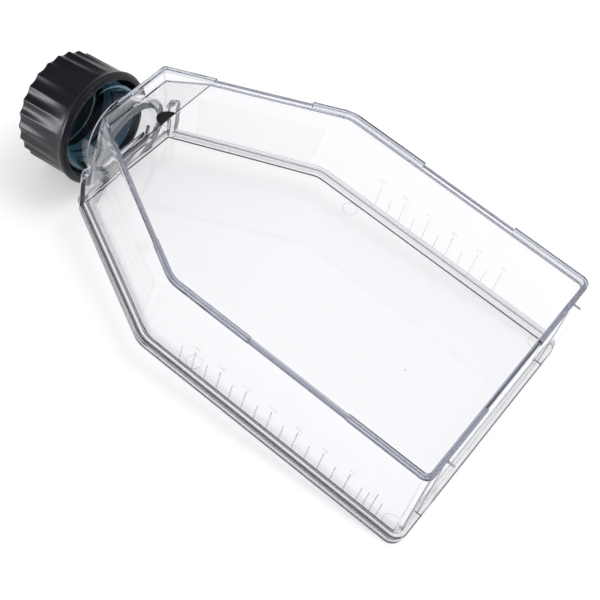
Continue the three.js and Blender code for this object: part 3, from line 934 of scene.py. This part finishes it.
def liner_disc():
    """A flat disc with a rounded edge and, on its inner face, the neck's pressed ring."""
    top, low = -LINER_FROM_END, -LINER_FROM_END - LINER_THICKNESS
    edge, pressed = LINER_THICKNESS / 2, low + 0.10
    section = np.vstack([
        [(0.2, top), (6.0, top), (12.0, top)],
        arc((LINER_RADIUS - edge, top - edge), edge, 90, -90, 9),
        [(13.2, low), (12.95, pressed), (11.25, pressed), (11.0, low), (6.0, low), (0.2, low)],
    ]) * MM
    return turned(np.repeat(section[:, :1], 120, 1), section[:, 1])


class FLASK_OT_scales(bpy.types.Operator):
    """Raises the volume scales and their numbers on the two long walls, grey with painted shade"""
    bl_idname = "flask.scales"
    bl_label = "Volume scales"

    def execute(self, context):
        # Painted shade: the scales' grey skins stand in for the lines that their clear ridges show.
        faint = mark_plastic("raised_marks_far", settings().mark_colour, alpha=0.14)
        lines, numbers = scale_lines(-1, scale_marks(*LEFT_SCALE) + scale_marks(*FINE_SCALE))
        add_marks("scale_left", lines, plain_mark())
        add_marks("numbers_left", numbers, faint)
        lines, numbers = scale_lines(1, scale_marks(*RIGHT_SCALE))
        add_marks("scale_right", lines, faint)
        add_marks("numbers_right", numbers, faint)
        return {"FINISHED"}


def scale_marks(start, spacing, count, foot, tops, first_tall, value):
    """(x, foot, top, number or None) of each mark; every second one is tall.

    The first tall mark shows the value, if there is one, and each mark after it counts 10 less.
    """
    marks = []
    for step in range(count):
        tall = step % 2 == first_tall
        shown = value - 10 * (step - first_tall) if tall and value else None
        marks.append((start + spacing * step, foot, tops[tall], shown))
    return marks


def scale_lines(side, marks):
    """A scale's raised lines and its numbers, each number centred over its line."""
    lines, numbers = [], []
    half_turn = Matrix.Rotation(math.pi if side > 0 else 0, 4, "Z")
    upright = half_turn @ Matrix.Rotation(math.pi / 2, 4, "X")
    for x, foot, top, value in marks:
        ends = [at(*side_wall(side, x, z)) for z in (foot, top)]
        lines.append(raised_line(*ends, (0, side, 0), settings().mark_width, 0.06 * MM))
        if value is not None:
            place = Vector(side_wall(side, x, top + NUMBER_GAP, 0.03)) * MM
            numbers.append(number(str(value), settings().number_size,
                                  Matrix.Translation(place) @ upright))
    return lines, numbers


class FLASK_OT_mould_marks(bpy.types.Operator):
    """Adds the rings that the mould's pins and gates leave, grey with painted shade, the dark gate mark on the
    slope, and a dark line of painted shade along the slope's crease
    """
    bl_idname = "flask.mould_marks"
    bl_label = "Mould marks"

    def execute(self, context):
        rings = [raised_ring(place, PLATE_TOP, PIN_RING_RADIUS, width=0.28, height=0.05)
                 for place in PIN_RINGS]
        rings.append(raised_ring(PLATE_DOT, PLATE_TOP, PLATE_DOT_RADIUS, width=0.25, height=0.05))
        add_marks("plate_rings", rings, plain_mark())
        ring = raised_ring(GATE_CENTRE, PANEL_HEIGHT, GATE_HALF_WIDTH, width=0.25, height=0.04,
                           half=True)
        add_marks("gate_ring", [ring], plain_mark())
        # Painted shade: a dark line laid along the crease where the panel meets the slope stands in for the shade
        # that the clear edge shows.
        ends = [at(RAMP_START, y, PANEL_HEIGHT) for y in (-RAMP_HALF_WIDTH, RAMP_HALF_WIDTH)]
        crease = raised_line(*ends, UP, width=0.26 * MM, height=0.04 * MM)
        dark = mark_plastic("slope_edge", (0.03, 0.03, 0.035), alpha=0.92)
        add_marks("slope_edge", [crease], dark)
        gate = mark_plastic("dark_gate", (0.004, 0.004, 0.005), alpha=0.98, rough=0.35,
                            speckle=0.25, gloss=0.12)
        add_marks("gate_mark", [gate_mark()], gate)
        return {"FINISHED"}


def gate_mark(rings=14, spokes=40):
    """Half a disc just down the panel's slope: spokes from its middle, over a face close below.

    Radius and angle give a point's x and y; its z follows the slope, plus a fine pebbled height.
    """
    share = np.linspace(0.001, 1, rings)[:, None]
    angle = np.linspace(math.pi / 2, 3 * math.pi / 2, spokes)[None, :]
    x = GATE_CENTRE[0] - 0.02 + GATE_REACH * share * np.cos(angle)
    y = GATE_CENTRE[1] + GATE_HALF_WIDTH * share * np.sin(angle)
    pebble = 0.035 * np.sin(x * 9.1 + 2 * np.sin(y * 5.3)) * np.sin(y * 8.3 + np.sin(x * 6.1))
    lift = 0.05 + pebble * np.sin(math.pi * np.minimum(share, 0.999))
    slope = PANEL_HEIGHT + (x - RAMP_START) * RAMP_SLOPE
    return closed_sheet(*(np.stack([x, y, slope + up], -1) * MM for up in (lift, 0.005)))


class FLASK_OT_writing_panels(bpy.types.Operator):
    """Lays the finely matted writing panels on the two shoulder walls"""
    bl_idname = "flask.writing_panels"
    bl_label = "Writing panels"

    def execute(self, context):
        matt = mark_plastic("matted_panel", (0.80, 0.80, 0.78), alpha=0.03, rough=0.6)
        # Painted shade: the outline's grey stands in for the lines its clear ridges show.
        line = mark_plastic("panel_outline", settings().mark_colour, alpha=0.07)
        for side, name in ((-1, "left"), (1, "right")):
            add_marks("writing_panel_" + name, [writing_panel(side)], matt)
            add_marks("panel_outline_" + name, panel_outline(side), line)
        return {"FINISHED"}


def writing_panel(side, cols=9, rows=7):
    """A thin sheet between two offsets of the shoulder wall, over a grid of along and height."""
    along, z = np.meshgrid(np.linspace(*PANEL_ALONG, cols), np.linspace(*PANEL_LEVELS, rows))
    return closed_sheet(*(shoulder_wall(side, along, z, proud) * MM for proud in (0.03, 0.01)))


def panel_outline(side):
    """The four raised lines round a writing panel."""
    (near, far), (low, high) = PANEL_ALONG, PANEL_LEVELS
    corner = [shoulder_wall(side, np.array(a), np.array(z), 0.02) * MM
              for a, z in ((near, low), (far, low), (far, high), (near, high))]
    facing = (-math.sin(SHOULDER_SLANT), side * math.cos(SHOULDER_SLANT), 0)
    return [raised_line(corner[i - 1], corner[i], facing, width=0.25 * MM, height=0.04 * MM)
            for i in (1, 2, 3, 0)]


class FLASK_OT_stage(bpy.types.Operator):
    """Makes the camera, the floor, the lamps and the world"""
    bl_idname = "flask.stage"
    bl_label = "Stage"

    def execute(self, context):
        make_camera()
        make_floor()
        make_lamps()
        make_world()
        context.scene.view_settings.view_transform = "Standard"
        cycles = context.scene.cycles
        cycles.max_bounces = cycles.glossy_bounces = LIGHT_STEPS
        cycles.transmission_bounces = cycles.transparent_max_bounces = LIGHT_STEPS
        return {"FINISHED"}


def make_camera():
    camera = bpy.data.cameras.new("camera")
    camera.sensor_width = CAMERA_SENSOR
    camera.lens = CAMERA_LENS
    camera.clip_start = 0.01
    holder = link("camera", camera)
    turn = Euler([math.radians(a) for a in CAMERA_TURN], "XYZ").to_matrix().to_4x4()
    holder.matrix_world = FLASK @ Matrix.Translation(Vector(CAMERA_PLACE) * MM) @ turn
    bpy.context.scene.camera = holder


def make_floor():
    """A white floor: matt paint that takes shadows, and a glow that only the eye and glass see."""
    mesh = bpy.data.meshes.new("floor")
    mesh.from_pydata([(x * FLOOR_HALF, y * FLOOR_HALF, 0)
                      for x, y in ((-1, -1), (1, -1), (1, 1), (-1, 1))], [], [(0, 1, 2, 3)])
    floor = link("floor", mesh)
    material = bpy.data.materials.new("white_floor")
    tree = cleared_tree(material)
    seen = ray_is(tree, "Camera", "Glossy", "Transmission")
    paint = add_node(tree, "BsdfDiffuse", {"Color": [FLOOR_PAINT] * 3})
    glow = add_node(tree, "Emission", {"Strength": math_node(tree, "MULTIPLY", seen, FLOOR_GLOW)})
    both = add_node(tree, "AddShader", {0: paint, 1: glow})
    add_node(tree, "OutputMaterial", {"Surface": both})
    floor.data.materials.append(material)


def area_lamp(name, place, target, size, power):
    lamp = bpy.data.lights.new(name, "AREA")
    lamp.shape = "RECTANGLE"
    lamp.size, lamp.size_y = size
    lamp.energy = power
    holder = link(name, lamp)
    turn = (Vector(target) - Vector(place)).to_track_quat("-Z", "Y").to_matrix().to_4x4()
    holder.matrix_world = Matrix.Translation(place) @ turn
    return holder


def make_lamps():
    """A soft lamp overhead that no gloss shows, and one at the side for the cap alone."""
    overhead = area_lamp("overhead", place=(0.35, 0.75, 1.45), target=(0, 0, 0),
                         size=(1.1, 0.9), power=12.0)
    overhead.visible_glossy = False
    overhead.visible_transmission = False
    side = area_lamp("cap_side", place=(-0.78, -0.86, 0.16), target=(-0.07, 0, 0.02),
                     size=(0.70, 0.22), power=12.5)
    side.data.color = (0.94, 0.94, 1.0)
    lit = bpy.data.collections.new("lit_from_the_side")
    lit.objects.link(bpy.data.objects["cap_shell"])
    side.light_linking.receiver_collection = lit


def make_world():
    """Soft light for paint, a bright and a dim side for gloss and glass, white for the eye."""
    world = bpy.data.worlds.new("studio")
    bpy.context.scene.world = world
    tree = cleared_tree(world)
    where = add_node(tree, "TexCoord").outputs["Generated"]
    toward = length_along(tree, where, Vector(BRIGHT_SIDE).normalized())
    ramp = add_node(tree, "ValToRGB", {0: toward})
    dim, bright = ramp.color_ramp.elements
    dim.position, dim.color = DIM_COSINE, (*DIM_COLOUR, 1)
    bright.position, bright.color = BRIGHT_COSINE, (*BRIGHT_COLOUR, 1)
    light = add_node(tree, "Background", {"Color": SKY_COLOUR, "Strength": SKY_STRENGTH})
    mirrored = add_node(tree, "Background", {"Color": ramp})
    white = add_node(tree, "Background", {"Color": (1, 1, 1)})
    lit = either_shader(tree, ray_is(tree, "Glossy", "Transmission"), light, mirrored)
    seen = either_shader(tree, ray_is(tree, "Camera"), lit, white)
    add_node(tree, "OutputWorld", {"Surface": seen})


# ---- panel and registration ----
class FLASK_PT_panel(bpy.types.Panel):
    """Lists the flask's operators and settings"""
    bl_idname = "FLASK_PT_panel"
    bl_label = "Culture flask"
    bl_space_type = "VIEW_3D"
    bl_region_type = "UI"
    bl_category = "Flask"

    def draw(self, context):
        for operator in OPERATORS:
            self.layout.operator(operator.bl_idname)
        for name in FlaskSettings.__annotations__:
            self.layout.prop(context.scene.flask_settings, name)


OPERATORS = (
    FLASK_OT_mouldings, FLASK_OT_weld_seam, FLASK_OT_corner_ribs, FLASK_OT_neck_thread,
    FLASK_OT_cap, FLASK_OT_liner, FLASK_OT_scales, FLASK_OT_mould_marks,
    FLASK_OT_writing_panels, FLASK_OT_stage)
CLASSES = (FlaskSettings, *OPERATORS, FLASK_PT_panel)


def register():
    for cls in CLASSES:
        bpy.utils.register_class(cls)
    bpy.types.Scene.flask_settings = PointerProperty(type=FlaskSettings)


def unregister():
    del bpy.types.Scene.flask_settings
    for cls in reversed(CLASSES):
        bpy.utils.unregister_class(cls)


def main():
    register()
    for operator in OPERATORS:
        group, name = operator.bl_idname.split(".")
        getattr(getattr(bpy.ops, group), name)()


if __name__ == "__main__":
    main()
